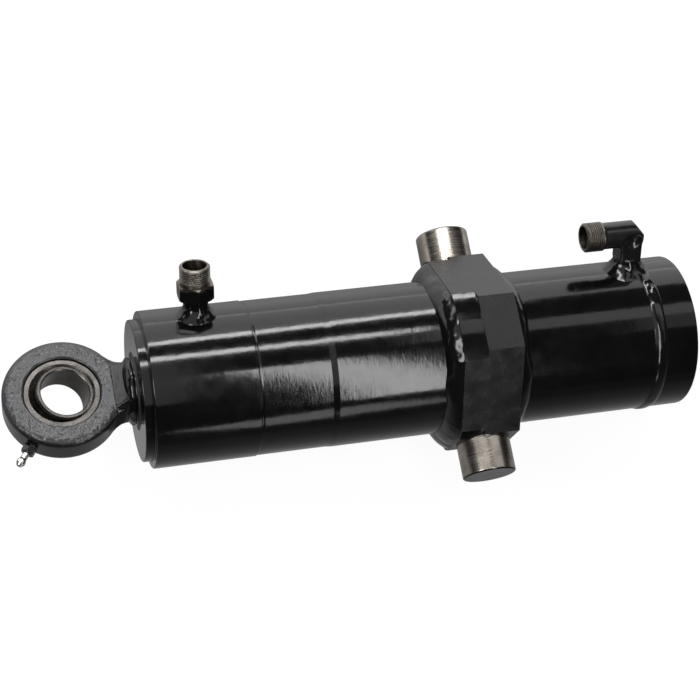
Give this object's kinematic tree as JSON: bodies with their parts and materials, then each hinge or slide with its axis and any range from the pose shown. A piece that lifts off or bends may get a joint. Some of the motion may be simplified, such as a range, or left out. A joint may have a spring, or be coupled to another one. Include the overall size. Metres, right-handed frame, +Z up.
{
  "type": "hydraulic cylinder",
  "caption": "Double-acting hydraulic cylinder with a welded trunnion block, swivelling rod eye and threaded oil ports, for moving a machine arm or attachment.",
  "frame": {"origin": "where the trunnion axis crosses the cylinder axis", "axes": "+X along the cylinder axis towards the blind end, +Y along the trunnion axis towards the pin on the side of the ports, +Z up"},
  "size_m": [0.5112, 0.192, 0.1484],
  "materials": {
    "black_paint": "gloss black enamel over tube, forgings and welds",
    "machined_steel": "fine turned",
    "hard_chrome": "ground and polished",
    "bearing_steel": "ground, phosphated",
    "zinc_plate": "bright zinc",
    "black_rubber": "matte",
    "seal_polyurethane": "satin",
    "guide_ring_resin": "matte",
    "white_plastic": "satin"
  },
  "bodies": {
    "barrel": {"barrel_tube": "black_paint", "end_cap": "black_paint", "end_cap_weld": "black_paint", "trunnion_block": "black_paint", "trunnion_pin_upper": "machined_steel", "trunnion_pin_lower": "machined_steel", "trunnion_weld_front": "black_paint", "trunnion_weld_rear": "black_paint", "front_port_stud": "black_paint", "front_port_weld": "black_paint", "rear_port_elbow": "black_paint", "rear_port_weld": "black_paint", "gland": "black_paint", "gland_o_ring": "black_rubber", "gland_backup_ring": "white_plastic", "rod_wiper": "black_rubber", "rod_seal": "seal_polyurethane", "rod_buffer_seal": "seal_polyurethane", "rod_guide_ring_front": "guide_ring_resin", "rod_guide_ring_rear": "guide_ring_resin"},
    "piston_rings": {"piston_wear_ring_front": "guide_ring_resin", "piston_wear_ring_rear": "guide_ring_resin", "piston_seal": "seal_polyurethane"},
    "rod_assembly": {"piston_rod": "hard_chrome", "piston": "machined_steel", "piston_o_ring": "black_rubber", "piston_nut": "machined_steel", "rod_eye": "black_paint", "bearing_outer_ring": "bearing_steel", "grease_nipple": "zinc_plate"},
    "bearing_ball": {"bearing_ball": "bearing_steel"}
  },
  "joints": [
    {"name": "rod_extend", "type": "slide", "parent": "barrel", "child": "piston_rings", "axis": [-1, 0, 0], "range_m": [0, 0.22]},
    {"name": "rod_turn", "type": "hinge", "parent": "piston_rings", "child": "rod_assembly", "pos_m": [0, 0, 0], "axis": [1, 0, 0], "continuous": true},
    {"name": "ball_swivel", "type": "hinge", "parent": "rod_assembly", "child": "bearing_ball", "pos_m": [-0.3034, 0, 0], "axis": [0.342, 0.9195, -0.1938], "range_deg": [-23, 1]}
  ]
}
